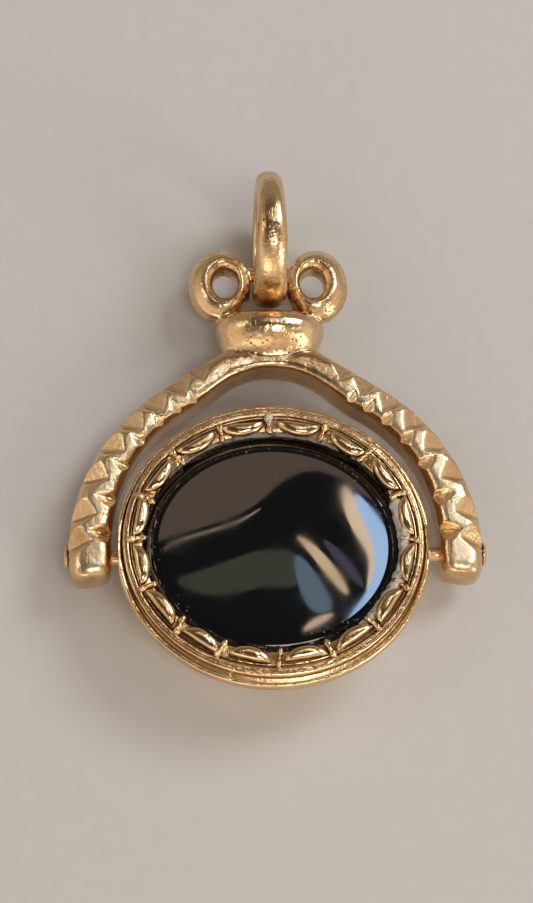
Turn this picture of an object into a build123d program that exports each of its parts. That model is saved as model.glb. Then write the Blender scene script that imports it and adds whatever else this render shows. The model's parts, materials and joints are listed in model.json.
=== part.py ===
from build123d import *
import os
from math import atan2, cos, degrees, pi, radians, sin, sqrt, tan

# A spinner fob lying on its back: a stone setting that turns on two rivets in a carved yoke with a bail ring.
# Millimetres. X runs along the pins, Y towards the bail ring and Z up from the surface that the fob lies on.


def grown(oval, amount):
    """An oval's half axes, larger by an amount all round."""
    return oval[0] + amount, oval[1] + amount


def bordered(oval, border):
    """An oval's half axes with a border of its own width along X and along Y."""
    return oval[0] + border[0], oval[1] + border[1]


# Stones: smooth ovals, given as half axes, with an upright girdle, a sloped edge and a low dome
stone_oval = (8.0, 7.0)
stone_gap = 0.08
stone_bed_gap = 0.03
stone_girdle = 1.75
stone_slope = 25
stone_top = 2.35
stone_dome_radius = 110
back_stone_oval = (7.0, 6.0)
back_stone_girdle = 1.75
back_stone_top = 2.2

# Setting: heights are over the pin axis, borders lie outside the stone's oval
setting_shift = -0.25
rim_border = (1.38, 1.8)
rim_height = 2.5
rim_thickness = 0.7
rim_edge = 0.14
flat_depth = 0.18
groove_width = 0.14
groove_depth = 0.2
ledge_border = (1.25, 1.3)
ledge_height = 2.72
ledge_lip = 0.13
ledge_width = 0.42
ledge_depth = 0.1
ridge_height = 2.8
ridge_width = 0.12
drum_border = (1.0, 1.3)
drum_back_border = (0.95, 1.25)
web_half_thickness = 0.6
web_width = 1.35
bezel_underside = 2.0
bezel_lap = 0.37
back_bezel_thickness = 0.3
back_bezel_lap = 0.3

# Half-moon lunettes round the front stone, with a post between each pair
lunette_count = 16
lunette_length = 2.1
lunette_width = 0.7
lunette_height = 3.05
lunette_edge = 0.17
lunette_clear = 0.1
post_width = 0.32
post_length = 1.0
post_height = 2.98
post_edge = 0.08

# Ovals of the setting that follow from the stones
rim_oval = bordered(stone_oval, rim_border)
ledge_oval = bordered(stone_oval, ledge_border)
drum_top_oval = bordered(stone_oval, drum_border)
drum_back_oval = bordered(back_stone_oval, drum_back_border)

# Pins, and the height of their axis over the surface
pin_height = 2.5
pin_radius = 0.45
pin_recess = 0.45
pin_seat = stone_oval[0] - web_width + pin_recess
pin_running_gap = 0.05
pin_press_gap = 0.02
rivet_radius = 0.7
rivet_rise = 0.18
rivet_edge = 0.12

# Yoke arms: two arcs about the pins, flat on the inner side and rounded on the outer
arm_outer_radius = 12.5
arm_clearance = 0.47
arm_reach = rim_oval[0] + arm_clearance
arm_half_depth = 1.5
arm_tail = 1.5
arm_round = 1.1
arm_round_share = 0.6
shoulder_angle = 58.5

# Two places on the arm's inner side: share of the arm's width at the pins, angle from the pins
arm_hip = (0.855, 29.25)
arm_shoulder = (0.768, 63.3)

# Chip carving along the arms: a zigzag ridge is left between notches from both sides
chip_count = 8
chip_first_angle = 3.5
chip_step = 11.2
chip_squeeze = 0.25
chip_outer_depth = 1.75
chip_inner_depth = 0.75
chip_outer_slope = 24
chip_inner_slope = 14
chip_outer_half_angle = 63
chip_inner_half_angle = 64
chip_length = 2.4
chip_height = 1.0
chip_fade = 0.05

# Collar: a bun with a waist above the arch
collar_waist = 13.05
collar_height = 2.45
collar_half_width = 3.37
collar_half_depth = pin_height
arch_thickness = 0.95
arch_height = collar_waist - arch_thickness
arch_half_span = 2.6
arch_rise = 0.9

# Scroll ears and the bridge that the bail ring hangs on, placed from the collar's waist
ear_lift = 4.57
ear_centre = collar_waist + ear_lift
ear_offset = 3.06
ear_half_width = 1.88
ear_half_height = 2.5
ear_half_depth = 1.05
ear_round = 0.5
ear_hole_inset = 0.23
ear_hole_half_width = 0.92
ear_hole_half_height = 1.05
ear_hole_edge = 0.18
bridge_lift = 0.9
bridge_centre = ear_centre + bridge_lift
bridge_radius = 0.45

# Bail ring, standing on the surface and leaning over the bridge
bail_radius = 4.28
bail_thickness = 1.35
bail_width_top = 1.5
bail_width_bottom = 2.1
bail_outer_round = 0.5
bail_inner_round = 0.35
bail_hang_gap = 0.1

# The bail ring hangs from the bridge and leans forward until it touches the surface
bail_inner_radius = bail_radius - bail_thickness
bail_reach = bail_inner_radius - bridge_radius - bail_hang_gap
bail_lift = bail_radius - pin_height
bail_centre = bridge_centre + sqrt(bail_reach ** 2 - bail_lift ** 2)

# The origin is on the surface, in the middle of the whole fob
pivot_y = (rim_oval[1] - bail_centre - bail_radius) / 2
tiny = 0.02


def at_face(height):
    """The plane parallel to the surface, at a height over the pin axis."""
    return Plane(origin=(0, pivot_y, pin_height + height))


def at_setting(height, facing=1):
    """The same plane, centred on the setting, which has slid to one side; facing is -1 for the back."""
    origin = (setting_shift, pivot_y, pin_height + facing * height)
    return Plane(origin=origin, x_dir=(1, 0, 0), z_dir=(0, 0, facing))


def across(y, height=0.0, x=0.0):
    """The plane whose normal runs along the pins, at a distance y from their axis."""
    return Plane(origin=(x, pivot_y + y, pin_height + height), x_dir=(0, 1, 0), z_dir=(1, 0, 0))


def along(y):
    """The plane whose normal runs towards the bail ring, with its X along the pins."""
    return Plane(origin=(0, pivot_y + y, pin_height), x_dir=(1, 0, 0), z_dir=(0, 1, 0))


def polar(radius, angle):
    """A point at a radius and an angle from the pin axis."""
    return radius * cos(radians(angle)), radius * sin(radians(angle))


def inside_arm(share, angle):
    """A point on the arm's inner side, where the arm is a share as wide as it is at the pins."""
    return polar(arm_outer_radius - share * (arm_outer_radius - arm_reach), angle)


def meets(edge, x, y):
    """Whether an edge starts or ends at a place on the yoke's outline, on either side."""
    return any(abs(abs(end.X) - x) < tiny and abs(end.Y - pivot_y - y) < tiny for end in edge.vertices())


# Chips of the arms: V-shaped gouges that run off to the outer or the inner side
def chip(angle, start, slope, half_angle, side, face, outward):
    """One gouge: side is -1 or 1 along X, face is -1 or 1 along Z, outward is -1 for an inner chip."""
    x, y = polar(start, angle)
    run_x, run_y = polar(outward, angle)
    flat, drop = polar(1, slope)
    plane = Plane(
        origin=(side * x, pivot_y + y, pin_height + face * arm_half_depth),
        x_dir=(-run_y, side * run_x, 0),
        z_dir=(side * run_x * flat, run_y * flat, -face * drop),
    )
    rise = chip_height if plane.y_dir.Z * face > 0 else -chip_height
    spread = chip_height * tan(radians(half_angle))
    with BuildPart() as gouge:
        with BuildSketch(plane):
            with BuildLine():
                Polyline((0, 0), (spread, rise), (-spread, rise), close=True)
            make_face()
        extrude(amount=chip_length)
    return gouge.part


chips = []
for k in range(2 * chip_count - 1):
    place = k / 2
    angle = chip_first_angle + chip_step * place - chip_squeeze * place ** 2
    for side in (-1, 1):
        for face in (-1, 1):
            if k % 2 == 0:
                start = arm_outer_radius - chip_outer_depth + chip_fade * place
                chips.append(chip(angle, start, chip_outer_slope, chip_outer_half_angle, side, face, 1))
            else:
                start = arm_outer_radius - chip_inner_depth - chip_fade * place
                chips.append(chip(angle, start, chip_inner_slope, chip_inner_half_angle, side, face, -1))

# Scroll ear, right side
with BuildPart() as ear:
    with BuildSketch(at_face(0)):
        with Locations((ear_offset, ear_centre)):
            Ellipse(ear_half_width, ear_half_height)
    extrude(amount=ear_half_depth, both=True)
    fillet(ear.faces().sort_by(Axis.Z)[0].edges() + ear.faces().sort_by(Axis.Z)[-1].edges(), ear_round)
    with BuildSketch(at_face(0)):
        with Locations((ear_offset - ear_hole_inset, ear_centre)):
            Ellipse(ear_hole_half_width, ear_hole_half_height)
    extrude(amount=ear_half_depth, both=True, mode=Mode.SUBTRACT)
    hole_wires = [wire for face in ear.faces().filter_by(GeomType.PLANE) for wire in face.inner_wires()]
    fillet([edge for wire in hole_wires for edge in wire.edges()], ear_hole_edge)

# Collar, lofted through ovals square to Y
collar_sections = (
    # share of height, share of half width, share of half depth
    (0.0, 0.88, 0.68),
    (0.22, 0.96, 0.90),
    (0.52, 1.0, 1.0),
    (0.82, 0.90, 0.82),
    (1.0, 0.68, 0.50),
)
with BuildPart() as collar:
    for up, wide, deep in collar_sections:
        with BuildSketch(along(collar_waist + up * collar_height)):
            Ellipse(wide * collar_half_width, deep * collar_half_depth)
    loft()

# Yoke: the arms and the arch are one flat outline, rounded on the outer side, with the rest cast on
shoulder = polar(arm_outer_radius, shoulder_angle)
shoulder_run = polar(1, shoulder_angle + 90)
arm_middle = polar(arm_outer_radius, shoulder_angle / 2)
arm_end = (sqrt(arm_outer_radius ** 2 - arm_tail ** 2), -arm_tail)
hip_inside = inside_arm(*arm_hip)
shoulder_inside = inside_arm(*arm_shoulder)
shoulder_width = arm_outer_radius - sqrt(shoulder_inside[0] ** 2 + shoulder_inside[1] ** 2)
arch_spring = (arch_half_span, arch_height - arch_rise)
waist_corner = (collar_sections[0][1] * collar_half_width, collar_waist + tiny)
with BuildPart() as yoke:
    with BuildSketch(at_face(0)):
        with BuildLine():
            Polyline((0, arch_height), (0, waist_corner[1]), waist_corner)
            TangentArc(shoulder, waist_corner, tangent=shoulder_run)
            ThreePointArc(shoulder, arm_middle, arm_end)
            Line(arm_end, (arm_reach, -arm_tail))
            ThreePointArc((arm_reach, -arm_tail), hip_inside, shoulder_inside)
            Line(shoulder_inside, arch_spring)
            TangentArc((0, arch_height), arch_spring, tangent=(1, 0))
        make_face()
        mirror(about=Plane.YZ)
    extrude(amount=arm_half_depth, both=True)
    rims = yoke.faces().filter_by(Axis.Z).edges().filter_by(lambda edge: meets(edge, *shoulder))
    fillet(rims, min(arm_round, arm_round_share * shoulder_width))
    add(chips, mode=Mode.SUBTRACT)
    add(collar.part)
    add(ear.part)
    add(mirror(ear.part, about=Plane.YZ, mode=Mode.PRIVATE))
    with BuildSketch(across(bridge_centre)):
        Circle(bridge_radius)
    extrude(amount=ear_offset - ear_half_width + ear_round, both=True)
    with BuildSketch(across(0)):
        Circle(pin_radius + pin_press_gap)
    extrude(amount=arm_outer_radius, both=True, mode=Mode.SUBTRACT)

# Pivot pins: a shank through the arm into the setting, with a low riveted head outside
with BuildPart() as pin:
    with BuildSketch(across(0, x=pin_seat)):
        Circle(pin_radius)
    extrude(amount=arm_outer_radius + pin_press_gap - pin_seat)
    with BuildSketch(across(0, x=arm_outer_radius + pin_press_gap)):
        Circle(rivet_radius)
    extrude(amount=rivet_rise)
    chamfer(pin.faces().sort_by(Axis.X)[-1].edges(), rivet_edge)
with BuildPart() as opposite_pin:
    add(mirror(pin.part, about=Plane.YZ, mode=Mode.PRIVATE))

# Bail ring: tapers towards its far side, rounded outside and inside
with BuildPart() as bail:
    with BuildSketch(across(bail_centre, bail_lift)):
        Circle(bail_radius)
        Circle(bail_inner_radius, mode=Mode.SUBTRACT)
    extrude(amount=bail_width_bottom / 2, both=True)
    near = bail_centre - bail_radius
    far = bail_centre + bail_radius
    with BuildSketch(at_face(bail_lift)):
        with BuildLine():
            Polyline(
                (-bail_width_bottom / 2, near),
                (bail_width_bottom / 2, near),
                (bail_width_top / 2, far),
                (-bail_width_top / 2, far),
                close=True,
            )
        make_face()
    extrude(amount=bail_radius, both=True, mode=Mode.INTERSECT)
    side_faces = bail.faces().filter_by(GeomType.PLANE)
    fillet([edge for face in side_faces for edge in face.outer_wire().edges()], bail_outer_round)
    inner_wires = [wire for face in bail.faces().filter_by(GeomType.PLANE) for wire in face.inner_wires()]
    fillet([edge for wire in inner_wires for edge in wire.edges()], bail_inner_round)

# Lunette and post, drawn at the origin with the stone on their -Y side
with BuildPart() as lunette:
    with BuildSketch():
        with BuildLine():
            Line((-lunette_length / 2, 0), (lunette_length / 2, 0))
            ThreePointArc((lunette_length / 2, 0), (0, -lunette_width), (-lunette_length / 2, 0))
        make_face()
    extrude(amount=lunette_height - ledge_height + ledge_depth)
    chamfer(lunette.faces().sort_by(Axis.Z)[-1].edges(), lunette_edge)
with BuildPart() as post:
    with BuildSketch():
        Rectangle(post_width, post_length)
    extrude(amount=post_height - ledge_height + ledge_depth)
    chamfer(post.faces().sort_by(Axis.Z)[-1].edges(), post_edge)


def round_the_bezel(oval, share):
    """The place on an oval at a share of the way round, facing outwards, on the floor of the ledge."""
    turn = 2 * pi * share
    out = Vector(oval[1] * cos(turn), oval[0] * sin(turn))
    heading = degrees(atan2(out.Y, out.X)) - 90
    floor = pin_height + ledge_height - ledge_depth
    place = (setting_shift + oval[0] * cos(turn), pivot_y + oval[1] * sin(turn), floor)
    return Location(place, (0, 0, heading))


# Setting: a tapered drum under a stepped rim, open through the middle, with the stones let in from both sides
drum_back = pin_height
ledge_inner_oval = grown(ledge_oval, -ledge_lip - ledge_width)
lunette_oval = grown(ledge_inner_oval, -ridge_width - lunette_clear)
post_oval = grown(ledge_oval, -ledge_lip - post_length / 2)
with BuildPart() as setting:
    with BuildSketch(at_setting(-drum_back)):
        Ellipse(*drum_back_oval)
    with BuildSketch(at_setting(rim_height - rim_thickness)):
        Ellipse(*drum_top_oval)
    loft()
    with BuildSketch(at_setting(rim_height - rim_thickness)):
        Ellipse(*rim_oval)
    extrude(amount=rim_thickness)
    chamfer(setting.faces().sort_by(Axis.Z)[-1].edges(), rim_edge)
    with BuildSketch(at_setting(rim_height)):
        Ellipse(*grown(ledge_oval, groove_width))
        Ellipse(*ledge_oval, mode=Mode.SUBTRACT)
    extrude(amount=-groove_depth, mode=Mode.SUBTRACT)
    with BuildSketch(at_setting(rim_height)):
        Ellipse(*ledge_oval)
    extrude(amount=ledge_height - rim_height)
    with BuildSketch(at_setting(ledge_height - ledge_depth)):
        Ellipse(*grown(ledge_oval, -ledge_lip))
    extrude(amount=ledge_depth, mode=Mode.SUBTRACT)
    with BuildSketch(at_setting(ledge_height - ledge_depth)):
        Ellipse(*ledge_inner_oval)
        Ellipse(*grown(ledge_inner_oval, -ridge_width), mode=Mode.SUBTRACT)
    extrude(amount=ridge_height - ledge_height + ledge_depth)
    with BuildSketch(at_setting(-drum_back)):
        Rectangle(2 * (rim_oval[0] - flat_depth), 2 * (rim_oval[1] + rim_thickness))
    extrude(amount=drum_back + ridge_height + rim_thickness, mode=Mode.INTERSECT)
    steps = range(lunette_count)
    with Locations([round_the_bezel(lunette_oval, (step + 0.5) / lunette_count) for step in steps]):
        add(lunette.part)
    with Locations([round_the_bezel(post_oval, step / lunette_count) for step in steps]):
        add(post.part)
    with BuildSketch(at_setting(web_half_thickness)):
        Ellipse(*grown(stone_oval, stone_gap))
    extrude(amount=bezel_underside - web_half_thickness, mode=Mode.SUBTRACT)
    with BuildSketch(at_setting(bezel_underside)):
        Ellipse(*grown(stone_oval, -bezel_lap))
    extrude(amount=lunette_height - bezel_underside, mode=Mode.SUBTRACT)
    with BuildSketch(at_setting(-web_half_thickness)):
        Ellipse(*grown(stone_oval, -web_width))
    extrude(amount=2 * web_half_thickness, mode=Mode.SUBTRACT)
    with BuildSketch(at_setting(web_half_thickness, -1)):
        Ellipse(*grown(back_stone_oval, stone_gap))
    extrude(amount=drum_back - back_bezel_thickness - web_half_thickness, mode=Mode.SUBTRACT)
    with BuildSketch(at_setting(drum_back - back_bezel_thickness, -1)):
        Ellipse(*grown(back_stone_oval, -back_bezel_lap))
    extrude(amount=back_bezel_thickness, mode=Mode.SUBTRACT)
    with BuildSketch(across(0)):
        Circle(pin_radius + pin_running_gap)
    extrude(amount=rim_oval[0], both=True, mode=Mode.SUBTRACT)


def stone(oval, girdle, top, facing):
    """A smooth oval stone on the web: upright girdle, sloped edge and low dome; facing is -1 for the back."""
    base = web_half_thickness + stone_bed_gap
    with BuildPart() as gem:
        with BuildSketch(at_setting(base, facing)):
            Ellipse(*oval)
        extrude(amount=girdle - base)
        with BuildSketch(at_setting(girdle, facing)):
            Ellipse(*oval)
        with BuildSketch(at_setting(top, facing)):
            Ellipse(*grown(oval, (girdle - top) / tan(radians(stone_slope))))
        loft()
        with Locations(at_setting(top - stone_dome_radius, facing)):
            Sphere(stone_dome_radius, mode=Mode.INTERSECT)
    return gem.part


pieces = {
    "yoke": yoke.part,
    "pivot_pin_left": opposite_pin.part,
    "pivot_pin_right": pin.part,
    "setting": setting.part,
    "front_stone": stone(stone_oval, stone_girdle, stone_top, 1),
    "back_stone": stone(back_stone_oval, back_stone_girdle, back_stone_top, -1),
    "bail_ring": bail.part,
}
os.makedirs("parts", exist_ok=True)
for name, piece in pieces.items():
    piece.label = name
    export_step(piece, f"parts/{name}.step")
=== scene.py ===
"""A gold spinner fob with an onyx in a scalloped setting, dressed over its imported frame."""

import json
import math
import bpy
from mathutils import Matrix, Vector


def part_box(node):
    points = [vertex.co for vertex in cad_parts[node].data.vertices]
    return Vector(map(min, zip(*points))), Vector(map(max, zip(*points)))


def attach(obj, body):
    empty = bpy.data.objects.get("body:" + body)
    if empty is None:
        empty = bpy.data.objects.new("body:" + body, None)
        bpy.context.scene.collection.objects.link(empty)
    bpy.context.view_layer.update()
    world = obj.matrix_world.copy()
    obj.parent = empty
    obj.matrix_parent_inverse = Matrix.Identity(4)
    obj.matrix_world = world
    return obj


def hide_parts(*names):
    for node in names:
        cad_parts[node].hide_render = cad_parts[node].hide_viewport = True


bl_info = {
    "name": "Spinner Fob",
    "version": (1, 0, 0),
    "blender": (4, 5, 0),
    "location": "View3D > Sidebar > Fob",
    "description": "Builds a worn gold spinner fob with an onyx that turns in a carved yoke",
    "category": "Object",
}

from random import Random

import bmesh
import bpy
from bpy.props import FloatProperty, FloatVectorProperty, IntProperty, PointerProperty
from mathutils import Matrix, Vector, noise

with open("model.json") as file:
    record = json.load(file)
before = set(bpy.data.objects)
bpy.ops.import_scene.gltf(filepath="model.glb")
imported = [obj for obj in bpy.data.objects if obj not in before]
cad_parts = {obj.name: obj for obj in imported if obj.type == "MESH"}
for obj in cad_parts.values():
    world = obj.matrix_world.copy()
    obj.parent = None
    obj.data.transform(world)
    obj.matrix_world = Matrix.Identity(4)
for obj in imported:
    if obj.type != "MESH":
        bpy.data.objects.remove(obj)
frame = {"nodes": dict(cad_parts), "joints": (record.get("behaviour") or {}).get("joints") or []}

# Shapes are drawn in millimetres, on the axes of the frame, and become metres when a piece is finished
MM = 0.001


def joint_place(name):
    """Where a joint of the frame is, in millimetres."""
    joint = next(j for j in frame["joints"] if j["name"] == name)
    return Vector(joint["pos_m"]) / MM


def middle(node):
    """The middle of a node of the frame, in millimetres."""
    low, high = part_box(node)
    return (low + high) / (2 * MM)


def half_size(node):
    """Half of a node's size along each axis, in millimetres."""
    low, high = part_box(node)
    return (high - low) / (2 * MM)


PIVOT = joint_place("spinner_turn")
BRIDGE = joint_place("bail_swing")
SETTING_CENTRE = Vector((middle("front_stone").x, PIVOT.y, PIVOT.z))
BAIL_CENTRE = middle("bail_ring")
BAIL_RADIUS = half_size("bail_ring").y

# Camera: how far it leans from square, in degrees, and how far it stands, in millimetres
CAMERA_AIM = PIVOT + Vector((-0.382, 6.719, 0))
CAMERA_SIDE = 3.5
CAMERA_TILT = 20.0
CAMERA_ROLL = -1.58
CAMERA_DISTANCE = 150.0
FOCAL_PIXELS = 2451.9
IMAGE_HEIGHT = 903
CAMERA_TOWARDS = Vector((
    -math.tan(math.radians(CAMERA_SIDE)), -math.tan(math.radians(CAMERA_TILT)), 1
)).normalized()
CAMERA_PLACE = CAMERA_AIM + CAMERA_DISTANCE * CAMERA_TOWARDS

# Yoke: angles in degrees from the pins, inner and outer radius from the pivot
ARM_SECTIONS = (
    (-8.5, 9.96, 12.42),
    (0.0, 9.85, 12.50),
    (15.0, 10.02, 12.50),
    (29.2, 10.23, 12.50),
    (45.0, 10.36, 12.50),
    (58.5, 10.44, 12.50),
    (63.3, 10.44, 12.58),
    (68.3, 10.70, 12.74),
    (72.5, 10.98, 13.00),
    (77.2, 11.33, 13.40),
    (80.5, 11.52, 13.33),
    (84.0, 11.68, 13.22),
    (87.0, 11.76, 13.17),
    (90.0, 11.78, 13.15),
)
ARM_STEPS = 44
ARM_HALF_DEPTH = 1.5
ARCH_HALF_DEPTH = 1.3
ARCH_FROM = 66.0
ARCH_EASE = 20.0
ARM_OUTER_SQUARENESS = 2.9
ARM_INNER_SQUARENESS = 4.2

# End of an arm: degrees from its end, and the section's size there
ARM_END_ROUNDING = (
    (-0.2, 0.16),
    (-0.12, 0.40),
    (0.1, 0.60),
    (0.5, 0.76),
    (1.2, 0.88),
    (2.2, 0.955),
    (3.4, 0.99),
    (4.4, 1.0),
)

# Chips: angles of the gouges that run outwards and inwards. Then for both kinds where a gouge starts, its
# slope, how far it turns from straight, and how wide its upper and lower side spread
OUTER_CHIPS = (3.9, 12.4, 24.4, 34.8, 44.0, 53.0, 61.8, 69.2)
INNER_CHIPS = (6.2, 18.1, 30.6, 40.7, 49.7, 57.0, 63.4)
OUTER_GOUGE = (10.95, 30.0, -22.0, 4.2, 0.85)
INNER_GOUGE = (11.5, 25.0, 170.0, 0.62, 1.9)

# How many degrees to both sides a chip can reach, where the chips end, and what no chip cuts into
CHIP_REACH = 11.0
CHIPS_END = 82.0
UNCUT_HALF_DEPTH = 0.3

# Outer chips get smaller towards the arch: from this angle on they start further out, per degree
CHIP_FADE_FROM = 58.0
CHIP_FADE = 0.05

# Collar: share of its height, half width and half depth
COLLAR_WAIST = 12.95
COLLAR_HEIGHT = 2.65
COLLAR_RINGS = (
    (-0.16, 3.30, 1.30),
    (-0.07, 3.08, 1.44),
    (0.01, 2.96, 1.58),
    (0.08, 2.95, 1.74),
    (0.17, 3.03, 1.98),
    (0.30, 3.18, 2.24),
    (0.46, 3.33, 2.42),
    (0.62, 3.40, 2.46),
    (0.77, 3.34, 2.32),
    (0.88, 3.14, 2.02),
    (0.96, 2.80, 1.58),
    (1.00, 2.30, 1.05),
)

# Scroll ears: the section's radius and height, from the hole's edge over the crest to the outside
EAR_CENTRE = (3.06, 17.68)
EAR_SECTION = (
    (0.74, 0.0),
    (0.75, 0.44),
    (0.86, 0.80),
    (1.05, 1.02),
    (1.22, 1.05),
    (1.42, 0.92),
    (1.68, 0.66),
    (1.88, 0.34),
    (1.95, 0.0),
)
EAR_GROOVE = ((1.80, 0.50), (1.83, 0.36), (1.76, 0.27), (1.88, 0.18), (1.95, 0.0))
EAR_STRETCH = 1.27
EAR_HOLE_SHIFT = 0.32
BRIDGE_RADIUS = 0.45
BRIDGE_HALF_LENGTH = EAR_CENTRE[0] - 1.2

# Finish of the yoke, in millimetres from the pivot: between which heights up the fob the pits gather on the
# collar and the paler crests of the arms end, and between which levels over the pins the crests are painted
# paler, partly as wear and partly as a painted highlight
PITTED_RISE = (12.4, 13.2)
CREST_END = (11.6, 12.5)
CREST_LEVEL = (1.32, 1.46)
# Paler gold of the crests: partly wear, partly a painted highlight
RUBBED_AND_HIGHLIGHT_GOLD = (0.93, 0.73, 0.46, 1.0)

# Bail ring: its section is rounder outside than inside
BAIL_THICKNESS = 1.35
BAIL_WIDTH_TOP = 1.5
BAIL_WIDTH_BOTTOM = 2.1
BAIL_OUTER_SQUARENESS = 2.3
BAIL_INNER_SQUARENESS = 4.0


class FobSizes(bpy.types.PropertyGroup):
    """Sizes that change the look of the fob."""

    lunettes: IntProperty(
        name="Lunettes", description="Half-moons round the stone", default=16, min=8, max=32
    )
    voxel: FloatProperty(
        name="Cast Grain", description="How finely the cast yoke is meshed",
        default=0.088 * MM, unit="LENGTH",
    )
    unevenness: FloatProperty(
        name="Unevenness", description="How far hand finishing leaves the cast faces from true",
        default=0.02 * MM, unit="LENGTH",
    )


class FobColours(bpy.types.PropertyGroup):
    """Colours of the fob's finishes."""

    gold: FloatVectorProperty(
        name="Gold", description="Polished nine carat gold", subtype="COLOR", size=3,
        default=(0.82, 0.60, 0.345),
    )
    bloom: FloatVectorProperty(
        name="Bloom", description="Redder gold where it has tarnished", subtype="COLOR", size=3,
        default=(0.66, 0.42, 0.22),
    )
    # Brown painted as shade in the hollows that occlusion finds; the same brown darkens the pits
    hollow_shade: FloatVectorProperty(
        name="Hollows", description="Brown painted as shade in the hollows, also used in the pits", subtype="COLOR", size=3,
        default=(0.12, 0.055, 0.018),
    )
    onyx: FloatVectorProperty(
        name="Onyx", description="Black of the stone", subtype="COLOR", size=3,
        default=(0.004, 0.0045, 0.006),
    )
    residue: FloatVectorProperty(
        name="Residue", description="Chalky deposit beside the stone", subtype="COLOR", size=3,
        default=(0.56, 0.53, 0.46),
    )
    floor: FloatVectorProperty(
        name="Floor", description="Pale floor that the fob lies on", subtype="COLOR", size=3,
        default=(0.62, 0.61, 0.60),
    )


def polar(radius, angle):
    """A place at a radius and an angle in degrees from the pivot."""
    return radius * math.cos(math.radians(angle)), radius * math.sin(math.radians(angle))


def squared(value, squareness):
    """A coordinate of a round section, moved out as a squarer section has it."""
    return math.copysign(abs(value) ** (2 / squareness), value)


def grown(half, amount):
    """An oval's half axes, larger by an amount."""
    return half[0] + amount, half[1] + amount


def ring(bm, half_x, half_y, place, count):
    """One oval loop of a loft, drawn across the Z of its place."""
    made = bmesh.ops.create_circle(
        bm, segments=count, radius=1.0, matrix=place @ Matrix.Diagonal((half_x, half_y, 1.0, 1.0))
    )
    return made["verts"]


def loft(bm, loops, closed=False):
    """Joins loops of vertices one after the other, into a closed tube or one with capped ends."""
    bm.edges.index_update()
    edges = [sorted({e for v in loop for e in v.link_edges}, key=lambda e: e.index) for loop in loops]
    pairs = list(zip(edges, edges[1:]))
    if closed:
        pairs.append((edges[-1], edges[0]))
    for first, second in pairs:
        bmesh.ops.bridge_loops(bm, edges=first + second)
    if not closed:
        for loop in (edges[0], edges[-1]):
            bmesh.ops.contextual_create(bm, geom=loop)


def mesh_of(bm, name):
    """A mesh datablock with the shape in bm, which is freed."""
    bmesh.ops.recalc_face_normals(bm, faces=bm.faces)
    mesh = bpy.data.meshes.new(name)
    bm.to_mesh(mesh)
    bm.free()
    return mesh


def with_modifiers(mesh, *settings):
    """The mesh after modifiers, each given as its type and its settings."""
    piece = bpy.data.objects.new(mesh.name, mesh)
    bpy.context.scene.collection.objects.link(piece)
    for kind, values in settings:
        modifier = piece.modifiers.new(kind.lower(), kind)
        for key, value in values.items():
            setattr(modifier, key, value)
    graph = bpy.context.evaluated_depsgraph_get()
    made = bpy.data.meshes.new_from_object(piece.evaluated_get(graph))
    bpy.data.objects.remove(piece)
    if not made.polygons:
        raise RuntimeError(f"{mesh.name} lost its shape in its modifiers")
    return made


def remeshed(mesh, voxel, smoothing):
    """The mesh melted into one skin and smoothed a number of times."""
    return with_modifiers(
        mesh,
        ("REMESH", {"mode": "VOXEL", "voxel_size": voxel}),
        ("SMOOTH", {"factor": 0.5, "iterations": smoothing}),
    )


def lumpy(mesh, amount, scale):
    """Pushes the vertices of a mesh in or out by smooth noise, as hand finishing leaves a cast face."""
    pushes = [vert.normal * amount * noise.noise(vert.co * scale) for vert in mesh.vertices]
    for vert, push in zip(mesh.vertices, pushes):
        vert.co += push


def finish_piece(mesh, name, body, material, stands_for=(), sharp_angle=55.0):
    """Turns a mesh in millimetres into a piece in metres that rides on its body."""
    mesh.transform(Matrix.Scale(MM, 4))
    mesh.name = name
    mesh.materials.clear()
    mesh.materials.append(material)
    mesh.shade_smooth()
    mesh.set_sharp_from_angle(angle=math.radians(sharp_angle))
    piece = bpy.data.objects.new(name, mesh)
    bpy.context.scene.collection.objects.link(piece)
    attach(piece, body)
    if stands_for:
        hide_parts(*stands_for)


# Finishes


def group_of(name, inputs, outputs):
    """A shader node group with number sockets, and its two end nodes."""
    tree = bpy.data.node_groups.new(name, "ShaderNodeTree")
    for title, default in inputs:
        socket = tree.interface.new_socket(title, in_out="INPUT", socket_type="NodeSocketFloat")
        socket.default_value = default
    for title in outputs:
        tree.interface.new_socket(title, in_out="OUTPUT", socket_type="NodeSocketFloat")
    return tree, tree.nodes.new("NodeGroupInput"), tree.nodes.new("NodeGroupOutput")


def add(tree, kind, links=(), **values):
    """A node with its settings, and links into its inputs given as (input, output socket or value)."""
    node = tree.nodes.new(kind)
    for key, value in values.items():
        setattr(node, key, value)
    for key, source in links:
        if isinstance(source, bpy.types.NodeSocket):
            tree.links.new(source, node.inputs[key])
        else:
            node.inputs[key].default_value = source
    return node


def object_place(tree):
    """The place on the piece, in metres."""
    return add(tree, "ShaderNodeTexCoord").outputs["Object"]


def clouds(tree, place, scale, detail, roughness=0.5):
    """Soft noise from 0 to 1."""
    links = (("Vector", place), ("Scale", scale), ("Detail", detail), ("Roughness", roughness))
    return add(tree, "ShaderNodeTexNoise", links).outputs["Fac"]


def mapped(tree, value, low, high, to_low=0.0, to_high=1.0):
    """A value's share of the way from low to high, or the same way between two other values."""
    node = add(tree, "ShaderNodeMapRange", (
        ("Value", value), ("From Min", low), ("From Max", high), ("To Min", to_low), ("To Max", to_high),
    ))
    return node.outputs["Result"]


def worked_out(tree, operation, *values):
    """What a sum, a product or the like of two or three values comes to."""
    return add(tree, "ShaderNodeMath", enumerate(values), operation=operation).outputs[0]


def mixed(tree, share, first, second):
    """A colour at a share of the way between two others."""
    links = (("Factor", share), ("A", first), ("B", second))
    return add(tree, "ShaderNodeMix", links, data_type="RGBA", blend_type="MIX").outputs["Result"]


def new_finish(name):
    """A new material, its node tree and its shader."""
    material = bpy.data.materials.new(name)
    material.use_nodes = True
    return material, material.node_tree, material.node_tree.nodes["Principled BSDF"]


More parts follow.
